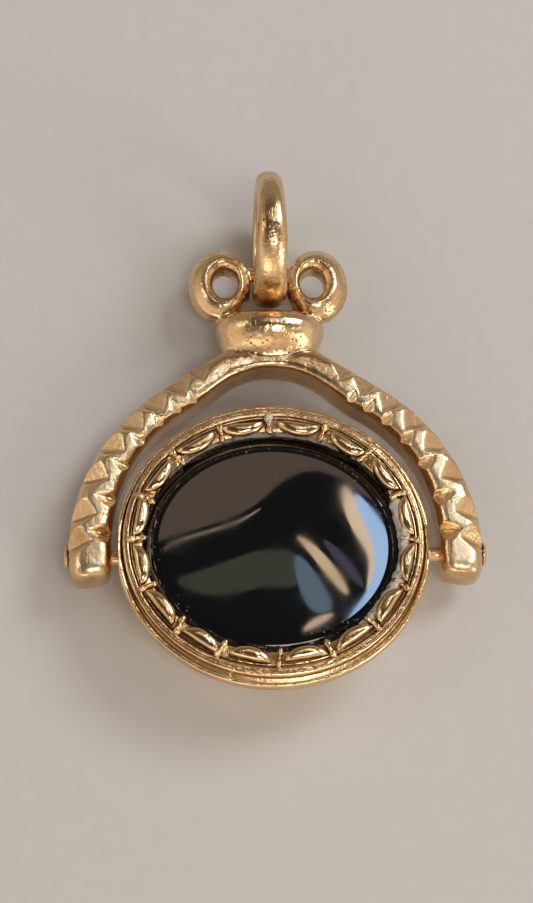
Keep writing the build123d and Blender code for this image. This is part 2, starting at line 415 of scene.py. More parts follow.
def give_relief(tree, shader, height, depth):
    """Bumps a surface by a height from 0 to 1, up to a depth in millimetres."""
    relief = add(tree, "ShaderNodeBump", (("Height", height), ("Strength", 1.0), ("Distance", depth * MM)))
    tree.links.new(relief.outputs["Normal"], shader.inputs["Normal"])


def wear_and_shade_group():
    """Masks and height of worn metal with painted shade: a mask of shade in the hollows, cloudy tarnish, fine
    scratches, grain and pits.
    """
    name = "worn metal"
    if name in bpy.data.node_groups:
        return bpy.data.node_groups[name]
    tree, inside, outside = group_of(
        name,
        (
            ("Cloud Scale", 420.0),
            ("Grain Scale", 5200.0),
            ("Scratch Scale", 4200.0),
            ("Pit Scale", 3600.0),
            ("Pit Share", 0.5),
            ("Hollow Reach", 0.6 * MM),
        ),
        ("Hollow", "Cloud", "Pits", "Height"),
    )
    given = inside.outputs
    place = object_place(tree)
    cloud = clouds(tree, place, given["Cloud Scale"], 5.0, roughness=0.62)
    grain = clouds(tree, place, given["Grain Scale"], 3.0, roughness=0.6)
    stretched = add(tree, "ShaderNodeMapping", (
        ("Vector", place), ("Rotation", (0.3, 0.2, 0.9)), ("Scale", (1, 0.05, 1)),
    )).outputs["Vector"]
    scratch = mapped(tree, clouds(tree, stretched, given["Scratch Scale"], 2.0), 0.58, 0.70)
    pit = add(tree, "ShaderNodeTexVoronoi", (
        ("Vector", place), ("Scale", given["Pit Scale"]), ("Randomness", 1.0),
    )).outputs["Distance"]
    often = worked_out(tree, "ADD", given["Pit Share"], 0.12)
    gathered = mapped(tree, cloud, given["Pit Share"], often)
    pits = worked_out(tree, "MULTIPLY", mapped(tree, pit, 0.16, 0.34, 1.0, 0.0), gathered)
    # Painted shade: where occlusion finds a hollow, the gold is painted brown
    openness = add(tree, "ShaderNodeAmbientOcclusion", (("Distance", given["Hollow Reach"]),), samples=8)
    hollow_shade = mapped(tree, openness.outputs["AO"], 0.12, 0.62, 1.0, 0.0)
    ground = worked_out(tree, "MULTIPLY_ADD", cloud, 1.1, grain)
    pitted = worked_out(tree, "MULTIPLY_ADD", pits, -1.1, ground)
    height = worked_out(tree, "MULTIPLY_ADD", scratch, -0.35, pitted)
    for title, socket in (("Hollow", hollow_shade), ("Cloud", cloud), ("Pits", pits), ("Height", height)):
        tree.links.new(socket, outside.inputs[title])
    return tree


def gold_finish_and_painted_shade(name, roughness, relief_depth, shade_and_pit_share=0.85, **scales):
    """Worn gold: brown painted as shade in the hollows, brown in the pits, cloudy roughness, and a fine
    relief of grain and scratches.
    """
    colours = bpy.context.scene.fob_colours
    material, tree, shader = new_finish(name)
    shader.inputs["Metallic"].default_value = 1.0
    wear_and_shade = add(tree, "ShaderNodeGroup", node_tree=wear_and_shade_group())
    for title, value in scales.items():
        wear_and_shade.inputs[title.replace("_", " ").title()].default_value = value
    bloomed = mapped(tree, wear_and_shade.outputs["Cloud"], 0.42, 0.68)
    clean = mixed(tree, bloomed, (*colours.gold, 1.0), (*colours.bloom, 1.0))
    # Painted shade in the hollows, joined with the brown of the pits
    grime = worked_out(tree, "MAXIMUM", wear_and_shade.outputs["Hollow"], wear_and_shade.outputs["Pits"])
    shaded_and_stained = worked_out(tree, "MULTIPLY", grime, shade_and_pit_share)
    tree.links.new(mixed(tree, shaded_and_stained, clean, (*colours.hollow_shade, 1.0)), shader.inputs["Base Color"])
    rough = mapped(tree, wear_and_shade.outputs["Cloud"], 0.3, 0.7, roughness * 0.75, roughness * 1.4)
    tree.links.new(worked_out(tree, "MULTIPLY_ADD", grime, 0.25, rough), shader.inputs["Roughness"])
    give_relief(tree, shader, wear_and_shade.outputs["Height"], relief_depth)
    return material


def yoke_finish_and_painted_light():
    """Cast gold with pits that gather on the collar, and arm crests painted paler and duller: part wear, part
    painted highlight.
    """
    material = gold_finish_and_painted_shade("cast gold", 0.19, 0.014)
    tree = material.node_tree
    shader = tree.nodes["Principled BSDF"]
    wear_and_shade = next(node for node in tree.nodes if node.type == "GROUP")
    axes = add(tree, "ShaderNodeSeparateXYZ", (("Vector", object_place(tree)),)).outputs

    def over_pivot(axis, start, stretch, to_low, to_high):
        """A value that changes over a stretch of heights over the pivot."""
        low, high = ((start + height) * MM for height in stretch)
        return mapped(tree, axes[axis], low, high, to_low, to_high)

    tree.links.new(over_pivot("Y", PIVOT.y, PITTED_RISE, 0.66, 0.45), wear_and_shade.inputs["Pit Share"])
    # Painted highlight together with wear: the crests of the arms are painted paler and made duller
    crest = over_pivot("Z", PIVOT.z, CREST_LEVEL, 0.0, 1.0)
    rubbed = worked_out(tree, "MULTIPLY", crest, over_pivot("Y", PIVOT.y, CREST_END, 1.0, 0.0))
    colour, rough = (shader.inputs[title].links[0].from_socket for title in ("Base Color", "Roughness"))
    tree.links.new(mixed(tree, rubbed, colour, RUBBED_AND_HIGHLIGHT_GOLD), shader.inputs["Base Color"])
    tree.links.new(worked_out(tree, "MULTIPLY_ADD", rubbed, 0.08, rough), shader.inputs["Roughness"])
    return material


def onyx_finish():
    """Polished black onyx with dust on its sloped edge and faint rubbing on its face."""
    material, tree, shader = new_finish("polished onyx")
    shader.inputs["IOR"].default_value = 1.62
    place = object_place(tree)
    centre = SETTING_CENTRE * MM
    scale = (1 / (FACE_OVAL[0] * MM), 1 / (FACE_OVAL[1] * MM), 0.0)
    unit = add(tree, "ShaderNodeMapping", (
        ("Vector", place), ("Location", (-centre.x * scale[0], -centre.y * scale[1], 0.0)), ("Scale", scale),
    )).outputs["Vector"]
    away = add(tree, "ShaderNodeVectorMath", ((0, unit),), operation="LENGTH").outputs["Value"]
    speck = add(tree, "ShaderNodeTexVoronoi", (("Vector", place), ("Scale", 3300.0))).outputs["Distance"]
    spread = clouds(tree, place, 420.0, 4.0)
    patch = worked_out(tree, "MULTIPLY", mapped(tree, spread, 0.46, 0.62), mapped(tree, away, 0.93, 1.03))
    dust = worked_out(tree, "MULTIPLY", mapped(tree, speck, 0.10, 0.24, 1.0, 0.0), patch)
    black = (*bpy.context.scene.fob_colours.onyx, 1.0)
    tree.links.new(mixed(tree, dust, black, (0.34, 0.32, 0.29, 1.0)), shader.inputs["Base Color"])
    rubbed = mapped(tree, spread, 0.35, 0.7, 0.02, 0.06)
    tree.links.new(worked_out(tree, "MULTIPLY_ADD", dust, 0.6, rubbed), shader.inputs["Roughness"])
    return material


def chalk_finish(name, brightness):
    """Whitish grey deposit, dull and grainy."""
    material, tree, shader = new_finish(name)
    grain = clouds(tree, object_place(tree), 2600.0, 5.0)
    pale = [c * brightness for c in bpy.context.scene.fob_colours.residue]
    colour = mixed(tree, mapped(tree, grain, 0.32, 0.52), (*(c * 0.3 for c in pale), 1.0), (*pale, 1.0))
    tree.links.new(colour, shader.inputs["Base Color"])
    shader.inputs["Roughness"].default_value = 0.8
    give_relief(tree, shader, grain, 0.08)
    return material


def floor_finish():
    """Plain pale floor with a faint grain."""
    material, tree, shader = new_finish("pale floor")
    pale = bpy.context.scene.fob_colours.floor
    grain = clouds(tree, object_place(tree), 900.0, 4.0)
    colour = mixed(tree, grain, (*(c * 0.94 for c in pale), 1.0), (*pale, 1.0))
    tree.links.new(colour, shader.inputs["Base Color"])
    shader.inputs["Roughness"].default_value = 0.8
    return material


# Shapes of the yoke


def arm_radii(angle):
    """Inner and outer radius of the yoke's band at an angle from the pins."""
    for (start, *low), (end, *high) in zip(ARM_SECTIONS, ARM_SECTIONS[1:]):
        if angle <= end:
            share = max(0.0, (angle - start) / (end - start))
            return [a + share * (b - a) for a, b in zip(low, high)]
    return ARM_SECTIONS[-1][1:]


def band_section(bm, angle, side, size=1.0):
    """One rounded section of the yoke's band: crowned faces, a soft outer edge and a squarer inner one."""
    inner, outer = arm_radii(angle)
    half_width = (outer - inner) / 2
    eased = min(1.0, max(0.0, (angle - ARCH_FROM) / ARCH_EASE))
    half_depth = ARM_HALF_DEPTH + (ARCH_HALF_DEPTH - ARM_HALF_DEPTH) * eased
    section = ring(bm, 1.0, 1.0, Matrix.Rotation(math.pi / 2, 4, "X"), count=44)
    for vert in section:
        squareness = ARM_OUTER_SQUARENESS if vert.co.x > 0 else ARM_INNER_SQUARENESS
        across, up = squared(vert.co.x, squareness), squared(vert.co.z, squareness)
        vert.co = ((inner + outer) / 2 + size * half_width * across, 0.0, size * half_depth * up)
    turned = Matrix.Diagonal((side, 1, 1, 1)) @ Matrix.Rotation(math.radians(angle), 4, "Z")
    bmesh.ops.transform(bm, matrix=Matrix.Translation(PIVOT) @ turned, verts=section)
    return section


def draw_arms(bm):
    """The arms and the arch as one band, lofted from the end of one arm to the end of the other."""
    start = ARM_SECTIONS[0][0]
    right = [(start + step, size) for step, size in ARM_END_ROUNDING]
    first = right[-1][0]
    right += [(first + (90 - first) * step / ARM_STEPS, 1.0) for step in range(1, ARM_STEPS + 1)]
    loops = [band_section(bm, angle, 1, size) for angle, size in right]
    loops += [band_section(bm, angle, -1, size) for angle, size in reversed(right[:-1])]
    loft(bm, loops)


def gouges():
    """Each gouge of an arm: its angle, its start, its way, what is up from it, its slope and its spreads."""
    for angles, gouge in ((OUTER_CHIPS, OUTER_GOUGE), (INNER_CHIPS, INNER_GOUGE)):
        start, slope, turn, above, below = gouge
        for angle in angles:
            outwards = abs(turn) < 90
            fade = CHIP_FADE * max(0.0, angle - CHIP_FADE_FROM) if outwards else 0.0
            begin = Vector(polar(start + fade, angle))
            way = Vector(polar(1.0, angle + turn))
            upwards = Vector(polar(1.0, angle + turn + (90 if outwards else -90)))
            yield angle, begin, way, upwards, math.tan(math.radians(slope)), above, below


def carve(mesh):
    """Cuts the gouges into the front and the back of both arms."""
    cuts = list(gouges())
    for vert in mesh.vertices:
        place = vert.co - PIVOT
        side = Vector((abs(place.x), place.y))
        angle = math.degrees(math.atan2(side.y, side.x))
        if not ARM_SECTIONS[0][0] < angle < CHIPS_END or side.length > ARM_SECTIONS[-1][2]:
            continue
        level = abs(place.z)
        for middle_angle, begin, way, upwards, slope, above, below in cuts:
            if abs(angle - middle_angle) < CHIP_REACH:
                along = (side - begin).dot(way)
                across = (side - begin).dot(upwards)
                wall = across / above if across > 0 else -across / below
                level = min(level, ARM_HALF_DEPTH - along * slope + wall)
        if abs(place.z) > UNCUT_HALF_DEPTH:
            vert.co.z = PIVOT.z + math.copysign(max(level, UNCUT_HALF_DEPTH), place.z)


def draw_collar(bm):
    """The bun over the arch."""
    loops = []
    for share, wide, deep in COLLAR_RINGS:
        place = Matrix.Translation(PIVOT + Vector((0, COLLAR_WAIST + share * COLLAR_HEIGHT, 0)))
        place = place @ Matrix.Rotation(math.pi / 2, 4, "X")
        loops.append(ring(bm, wide, deep, place, count=48))
    loft(bm, loops)


def draw_ear(bm, side):
    """One scroll ear: its section spun into a ring, with the hole nearer the bail ring, and stretched."""
    upper = EAR_SECTION[:-2] + EAR_GROOVE if side < 0 else EAR_SECTION
    lower = tuple((radius, -height) for radius, height in EAR_SECTION[-2:0:-1])
    before = set(bm.verts)
    section = [bm.verts.new((radius, 0.0, height)) for radius, height in upper + lower]
    edges = [bm.edges.new(pair) for pair in zip(section, section[1:] + section[:1])]
    bmesh.ops.spin(
        bm, geom=section + edges, cent=(0, 0, 0), axis=(0, 0, 1), angle=2 * math.pi, steps=56, use_merge=True
    )
    made = [v for v in bm.verts if v not in before]
    hole, outside = EAR_SECTION[0][0], EAR_SECTION[-1][0]
    for vert in made:
        share = (outside - vert.co.to_2d().length) / (outside - hole)
        vert.co.x -= side * EAR_HOLE_SHIFT * share
    place = Matrix.Translation(PIVOT + Vector((side * EAR_CENTRE[0], EAR_CENTRE[1], 0)))
    bmesh.ops.transform(bm, matrix=place @ Matrix.Diagonal((1, EAR_STRETCH, 1, 1)), verts=made)


def draw_bridge(bm):
    """The round bar between the ears, which the bail ring hangs on."""
    across = Matrix.Translation(BRIDGE) @ Matrix.Rotation(math.pi / 2, 4, "Y")
    bmesh.ops.create_cone(
        bm, cap_ends=True, segments=24, radius1=BRIDGE_RADIUS, radius2=BRIDGE_RADIUS,
        depth=2 * BRIDGE_HALF_LENGTH, matrix=across,
    )


class FOB_OT_yoke(bpy.types.Operator):
    """Build the cast yoke: carved arms and arch, and over them the collar, scroll ears and bridge"""

    bl_idname = "fob.yoke"
    bl_label = "Yoke"

    def execute(self, context):
        sizes = context.scene.fob_sizes
        bm = bmesh.new()
        draw_arms(bm)
        draw_collar(bm)
        for side in (-1, 1):
            draw_ear(bm, side)
        draw_bridge(bm)
        mesh = remeshed(mesh_of(bm, "cast_yoke"), sizes.voxel / MM, smoothing=5)
        lumpy(mesh, amount=sizes.unevenness / MM, scale=1.3)
        carve(mesh)
        mesh = with_modifiers(mesh, ("SMOOTH", {"factor": 0.5, "iterations": 2}))
        lumpy(mesh, amount=0.012, scale=4.5)
        finish_piece(mesh, "cast_yoke", "yoke", yoke_finish_and_painted_light(), ("yoke",))
        return {"FINISHED"}


class FOB_OT_bail(bpy.types.Operator):
    """Build the tapered bail ring"""

    bl_idname = "fob.bail"
    bl_label = "Bail Ring"

    def execute(self, context):
        bm = bmesh.new()
        section = bmesh.ops.create_circle(bm, segments=32, radius=1.0)["verts"]
        for vert in section:
            squareness = BAIL_OUTER_SQUARENESS if vert.co.y > 0 else BAIL_INNER_SQUARENESS
            across, up = (squared(value, squareness) for value in vert.co.xy)
            vert.co = (BAIL_WIDTH_BOTTOM / 2 * across, BAIL_THICKNESS / 2 * up, 0)
        bmesh.ops.translate(bm, verts=bm.verts, vec=(0, BAIL_RADIUS - BAIL_THICKNESS / 2, 0))
        bmesh.ops.spin(
            bm, geom=bm.verts[:] + bm.edges[:], cent=(0, 0, 0), axis=(1, 0, 0), angle=2 * math.pi, steps=128,
            use_merge=True,
        )
        for vert in bm.verts:
            share = (vert.co.y + BAIL_RADIUS) / (2 * BAIL_RADIUS)
            vert.co.x *= 1 + share * (BAIL_WIDTH_TOP / BAIL_WIDTH_BOTTOM - 1)
        bmesh.ops.translate(bm, verts=bm.verts, vec=BAIL_CENTRE)
        gold = gold_finish_and_painted_shade("polished gold", 0.17, 0.02)
        finish_piece(mesh_of(bm, "bail_loop"), "bail_loop", "bail", gold, ("bail_ring",))
        return {"FINISHED"}


# Setting: heights are over the pin axis, ovals are half axes along X and Y
RIM_OVAL = (9.38, 8.82)
RIM_FLAT = 9.2
RIM_SEGMENTS = 480
RIM_ROUGH_FROM = 2.41
BAND_OUTSIDE = (8.98, 8.42)
BAND_INSIDE = (8.42, 7.60)
OPENING = (7.76, 6.80)
LEDGE_FLOOR = 2.56
STONE_OVAL = (8.0, 7.0)
BACK_STONE_OVAL = (7.0, 6.0)
SEAT_GAP = 0.08
WEB_HALF_THICKNESS = 0.6

# What lies inside the rim sits a little further up than the rim
INNER_SHIFT = Vector((0, 0.17, 0))
INNER_FROM = 2.3

# Band between the rim and the lunettes: share of its width from the outside, and height
BAND_SECTION = (
    (0.00, 2.40),
    (0.05, 2.58),
    (0.10, 2.69),
    (0.18, 2.74),
    (0.27, 2.75),
    (0.32, 2.70),
    (0.36, 2.70),
    (0.41, 2.76),
    (0.55, 2.78),
    (0.66, 2.76),
    (0.72, 2.70),
    (0.76, 2.58),
    (0.82, 2.56),
    (0.86, 2.62),
    (0.90, 2.72),
    (0.95, 2.73),
    (1.00, 2.62),
)

# Lunettes: their size, how much their top leans inwards, and each ring's size as a share with its height over
# the ledge
LUNETTE_OVAL = (8.28, 7.42)
LUNETTE_HALF_LENGTH = 1.22
LUNETTE_WIDTH = 0.74
LUNETTE_CHORD = 0.09
LUNETTE_LEAN = 0.42
LUNETTE_RINGS = (
    (1.0, -0.1),
    (1.0, 0.24),
    (0.97, 0.34),
    (0.90, 0.43),
    (0.76, 0.51),
    (0.55, 0.56),
    (0.28, 0.59),
)

# Posts: how far inside the lunettes' oval and over the ledge they are, how finely they are meshed, and each
# lump's place along the post and its size
POST_INSET = 0.22
POST_RISE = 0.14
POST_VOXEL = 0.045
POST_LUMPS = ((-0.3, 1.0), (0.08, 0.8), (0.4, 1.15))

# Stones: the dome's radius and top, the face inside the sloped edge, and where the upright side starts
STONE_TOP = 2.35
DOME_RADIUS = 110.0
DOME_STEPS = 26
FACE_OVAL = (7.1, 6.08)
BACK_FACE_INSET = 0.9
STONE_BASE = 0.63
STONE_SEGMENTS = 256

# Edge of a stone: share of its width from the face, and the slope there in degrees
EDGE_SLOPES = ((0.00, 5.0), (0.06, 9.0), (0.13, 15.0), (0.22, 22.0), (0.35, 27.0), (1.0, 32.0))


def setting_rings():
    """Half axes and height of each loop of the setting's section, once round."""
    band = []
    for share, height in BAND_SECTION:
        band.append((tuple(a + share * (b - a) for a, b in zip(BAND_OUTSIDE, BAND_INSIDE)), height))
    return (
        ((7.95, 7.25), -2.5),
        ((8.05, 7.35), -2.42),
        ((9.0, 8.3), 1.78),
        (grown(RIM_OVAL, -0.12), 1.82),
        (grown(RIM_OVAL, -0.02), 1.92),
        (RIM_OVAL, 2.1),
        (RIM_OVAL, 2.26),
        (grown(RIM_OVAL, -0.02), 2.38),
        (grown(RIM_OVAL, -0.08), 2.48),
        (grown(RIM_OVAL, -0.16), 2.53),
        (grown(RIM_OVAL, -0.25), 2.52),
        (grown(RIM_OVAL, -0.32), 2.44),
        (grown(RIM_OVAL, -0.37), 2.32),
        *band,
        (grown(BAND_INSIDE, -0.04), LEDGE_FLOOR),
        (grown(OPENING, 0.1), LEDGE_FLOOR - 0.04),
        (grown(OPENING, 0.02), LEDGE_FLOOR - 0.1),
        (OPENING, 2.36),
        (OPENING, 2.02),
        (grown(STONE_OVAL, SEAT_GAP), 2.0),
        (grown(STONE_OVAL, SEAT_GAP), WEB_HALF_THICKNESS),
        (grown(STONE_OVAL, -1.35), WEB_HALF_THICKNESS),
        (grown(STONE_OVAL, -1.35), -WEB_HALF_THICKNESS),
        (grown(BACK_STONE_OVAL, SEAT_GAP), -WEB_HALF_THICKNESS),
        (grown(BACK_STONE_OVAL, SEAT_GAP), -2.2),
        (grown(BACK_STONE_OVAL, -0.3), -2.22),
        (grown(BACK_STONE_OVAL, -0.3), -2.42),
        (grown(BACK_STONE_OVAL, -0.22), -2.5),
    )


def round_the_bezel(oval, share, height):
    """The place on an oval at a share of the way round, with its Y facing outwards."""
    turn = 2 * math.pi * share
    heading = math.atan2(oval[0] * math.sin(turn), oval[1] * math.cos(turn)) - math.pi / 2
    place = Vector((oval[0] * math.cos(turn), oval[1] * math.sin(turn), height))
    return Matrix.Translation(SETTING_CENTRE + INNER_SHIFT + place) @ Matrix.Rotation(heading, 4, "Z")


def roughen_rims(bm):
    """Leaves the upper rims a little uneven and grainy."""
    for vert in bm.verts:
        if vert.co.z > SETTING_CENTRE.z + RIM_ROUGH_FROM:
            place = vert.co - SETTING_CENTRE
            vert.co.z += 0.014 * noise.noise(place * 4.6) + 0.025 * noise.noise(place * 1.1)


class FOB_OT_setting(bpy.types.Operator):
    """Build the stepped oval frame that holds the stones"""

    bl_idname = "fob.setting"
    bl_label = "Setting"

    def execute(self, context):
        bm = bmesh.new()
        loops = []
        for oval, height in setting_rings():
            shift = INNER_SHIFT if height > INNER_FROM and oval[1] <= BAND_OUTSIDE[1] else Vector()
            place = Matrix.Translation(SETTING_CENTRE + shift + Vector((0, 0, height)))
            loops.append(ring(bm, *oval, place, RIM_SEGMENTS))
        loft(bm, loops, closed=True)
        roughen_rims(bm)
        for vert in bm.verts:
            offset = vert.co.x - SETTING_CENTRE.x
            if abs(offset) > RIM_FLAT:
                vert.co.x = SETTING_CENTRE.x + math.copysign(RIM_FLAT, offset)
        gold = gold_finish_and_painted_shade("milled gold", 0.2, 0.016, pit_share=0.56, hollow_reach=0.4 * MM)
        mesh = mesh_of(bm, "setting_frame")
        finish_piece(mesh, "setting_frame", "spinner", gold, ("setting",), sharp_angle=42.0)
        return {"FINISHED"}


def draw_lunette(bm, place, size):
    """One half-moon: an upright foot and a low dome, with its straight side outwards."""
    loops = []
    for share, height in LUNETTE_RINGS:
        inwards = -LUNETTE_LEAN * LUNETTE_WIDTH * (1 - share)
        loop = ring(bm, 1.0, 1.0, Matrix.Identity(4), count=36)
        for vert in loop:
            reach = LUNETTE_WIDTH if vert.co.y < 0 else LUNETTE_CHORD
            vert.co = (LUNETTE_HALF_LENGTH * share * vert.co.x, reach * share * vert.co.y + inwards, height)
        loops.append(loop)
    loft(bm, loops)
    made = [v for loop in loops for v in loop]
    bmesh.ops.transform(bm, matrix=place @ Matrix.Diagonal((*size, 1)), verts=made)


def draw_post(bm, place, draw):
    """One post: three lumps in a row that melt into each other."""
    wide = draw.uniform(0.17, 0.24)
    for offset, size in POST_LUMPS:
        made = bmesh.ops.create_icosphere(bm, subdivisions=3, radius=1.0)["verts"]
        lump = Matrix.Diagonal((wide * size, 0.3, draw.uniform(0.28, 0.36), 1))
        aside = Matrix.Translation((draw.uniform(-0.04, 0.04), offset, 0))
        bmesh.ops.transform(bm, matrix=place @ aside @ lump, verts=made)


class FOB_OT_lunettes(bpy.types.Operator):
    """Build the half-moon lunettes and the posts between them"""

    bl_idname = "fob.lunettes"
    bl_label = "Lunettes and Posts"

    def execute(self, context):
        count = context.scene.fob_sizes.lunettes
        draw = Random(7)

        def set_by_hand(oval, share, height, slip, turn):
            """A place on the bezel that is a little off, by a share of the way round and by degrees."""
            place = round_the_bezel(oval, share + draw.uniform(-slip, slip), height)
            return place @ Matrix.Rotation(math.radians(draw.uniform(-turn, turn)), 4, "Z")

        bm = bmesh.new()
        for step in range(count):
            place = set_by_hand(LUNETTE_OVAL, (step + 0.5) / count, LEDGE_FLOOR, slip=0.002, turn=4)
            size = (draw.uniform(0.95, 1.08), draw.uniform(0.94, 1.06), draw.uniform(0.9, 1.1))
            draw_lunette(bm, place, size)
        mesh = mesh_of(bm, "lunettes")
        lumpy(mesh, amount=0.04, scale=1.6)
        gold = gold_finish_and_painted_shade("rubbed gold", 0.15, 0.008, pit_share=0.6, hollow_reach=0.4 * MM)
        finish_piece(mesh, "lunettes", "spinner", gold)

        bm = bmesh.new()
        oval = grown(LUNETTE_OVAL, -POST_INSET)
        for step in range(count):
            place = set_by_hand(oval, step / count, LEDGE_FLOOR + POST_RISE, slip=0.003, turn=12)
            draw_post(bm, place, draw)
        mesh = remeshed(mesh_of(bm, "posts"), POST_VOXEL, smoothing=2)
        lumpy(mesh, amount=0.06, scale=4.0)
        gold = gold_finish_and_painted_shade("post gold", 0.2, 0.015, hollow_reach=0.4 * MM)
        finish_piece(mesh, "posts", "spinner", gold)
        return {"FINISHED"}


def dome_height(x, y):
    """Height of the front stone's dome over the pin axis."""
    return STONE_TOP - (x * x + y * y) / (2 * DOME_RADIUS)


def draw_stone(bm, half, face, girdle, lift, facing):
    """A smooth oval stone: upright girdle, rounded slope and a low dome that is lifted or lowered."""
    slope_width = half[0] - face[0]
    rows = [(half, None, STONE_BASE), (half, None, girdle)]
    drops = [0.0]
    for (start, _), (end, slope) in zip(EDGE_SLOPES, EDGE_SLOPES[1:]):
        drops.append(drops[-1] + (end - start) * slope_width * math.tan(math.radians(slope)))
    for (share, _), drop in reversed(list(zip(EDGE_SLOPES, drops))[1:]):
        rows.append((grown(face, share * slope_width), drop, None))
    for step in range(DOME_STEPS, 0, -1):
        rows.append((tuple(axis * step / DOME_STEPS for axis in face), 0.0, None))
    loops = []
    for oval, drop, height in rows:
        place = Matrix.Translation((SETTING_CENTRE.x, SETTING_CENTRE.y, 0))
        loop = ring(bm, *oval, place, STONE_SEGMENTS)
        for vert in loop:
            x, y = vert.co.x - SETTING_CENTRE.x, vert.co.y - SETTING_CENTRE.y
            level = dome_height(x, y) + lift - drop if height is None else height
            vert.co.z = SETTING_CENTRE.z + facing * level
        loops.append(loop)
    loft(bm, loops)


class FOB_OT_stones(bpy.types.Operator):
    """Build the front onyx and the smaller one at the back"""

    bl_idname = "fob.stones"
    bl_label = "Stones"

    def execute(self, context):
        onyx = onyx_finish()
        back_face = grown(BACK_STONE_OVAL, -BACK_FACE_INSET)
        for name, node, half, face, girdle, lift, facing in (
            ("onyx_front", "front_stone", STONE_OVAL, FACE_OVAL, 1.62, 0.0, 1),
            ("onyx_back", "back_stone", BACK_STONE_OVAL, back_face, 1.5, -0.15, -1),
        ):
            bm = bmesh.new()
            draw_stone(bm, half, face, girdle, lift, facing)
            finish_piece(mesh_of(bm, name), name, "spinner", onyx, (node,), sharp_angle=60.0)
        return {"FINISHED"}


# Residue: share of the way round, half width, and height over the ledge less a tenth of a millimetre
RESIDUE_BESIDE_STONE = (
    (-0.150, 0.03, -0.10),
    (-0.135, 0.24, 0.10),
    (-0.110, 0.38, 0.22),
    (-0.085, 0.46, 0.28),
    (-0.060, 0.38, 0.28),
    (-0.035, 0.32, 0.22),
    (-0.012, 0.36, 0.24),
    (0.010, 0.42, 0.30),
    (0.035, 0.46, 0.32),
    (0.055, 0.36, 0.26),
    (0.068, 0.04, -0.05),
)
RESIDUE_TOP_LINE = (
    (0.120, 0.02, -0.14),
    (0.150, 0.09, -0.08),
    (0.190, 0.12, -0.06),
    (0.230, 0.15, -0.03),
    (0.260, 0.17, -0.02),
    (0.290, 0.13, -0.04),
    (0.330, 0.10, -0.08),
    (0.380, 0.08, -0.10),
    (0.430, 0.02, -0.14),
)

# Blob on the top post: its share of the way round, its height over the ledge and its lumps' half height, and
# each lump's distance outwards, half width and half length
BLOB_SHARE = 0.252
BLOB_RISE = 0.26
BLOB_HALF_HEIGHT = 0.2
BLOB_LUMPS = ((0.32, 0.24, 0.30), (-0.05, 0.13, 0.34))


def draw_deposit(bm, oval, table, sink, steps=10):
    """A lumpy strip of deposit along an oval, with its middle line sunk under the ledge."""
    loops = []
    for first, second in zip(table, table[1:]):
        for step in range(steps):
            share, wide, high = (a + (b - a) * step / steps for a, b in zip(first, second))
            place = round_the_bezel(oval, share, LEDGE_FLOOR - sink)
            turned = place @ Matrix.Rotation(math.pi / 2, 4, "Y") @ Matrix.Rotation(math.pi / 2, 4, "Z")
            loops.append(ring(bm, wide, max(0.04, high + 0.1 + sink), turned, count=20))
    loft(bm, loops)


class FOB_OT_residue(bpy.types.Operator):
    """Build the chalky deposit beside the stone and on the top post"""

    bl_idname = "fob.residue"
    bl_label = "Residue"

    def execute(self, context):
        bm = bmesh.new()
        draw_deposit(bm, grown(OPENING, 0.06), RESIDUE_BESIDE_STONE, sink=0.2)
        for outwards, wide, long in BLOB_LUMPS:
            blob = bmesh.ops.create_icosphere(bm, subdivisions=4, radius=1.0)["verts"]
            place = round_the_bezel(grown(LUNETTE_OVAL, outwards), BLOB_SHARE, LEDGE_FLOOR + BLOB_RISE)
            lump = Matrix.Diagonal((wide, long, BLOB_HALF_HEIGHT, 1))
            bmesh.ops.transform(bm, matrix=place @ lump, verts=blob)
        mesh = mesh_of(bm, "chalk_beside_stone")
        lumpy(mesh, amount=0.12, scale=2.6)
        lumpy(mesh, amount=0.05, scale=7.0)
        finish_piece(mesh, "chalk_beside_stone", "spinner", chalk_finish("chalky residue", 1.1))
        bm = bmesh.new()
        draw_deposit(bm, grown(OPENING, -0.06), RESIDUE_TOP_LINE, sink=0.06)
        mesh = mesh_of(bm, "grime_over_stone")
        lumpy(mesh, amount=0.06, scale=4.0)
        finish_piece(mesh, "grime_over_stone", "spinner", chalk_finish("grey grime", 0.42))
        return {"FINISHED"}


class FOB_OT_pins(bpy.types.Operator):
    """Finish the pivot pins and their riveted heads"""

    bl_idname = "fob.pins"
    bl_label = "Pins"

    def execute(self, context):
        gold = gold_finish_and_painted_shade("pin gold", 0.25, 0.02)
        for name in ("pivot_pin_left", "pivot_pin_right"):
            pin = frame["nodes"][name]
            pin.data.materials.clear()
            pin.data.materials.append(gold)
        return {"FINISHED"}


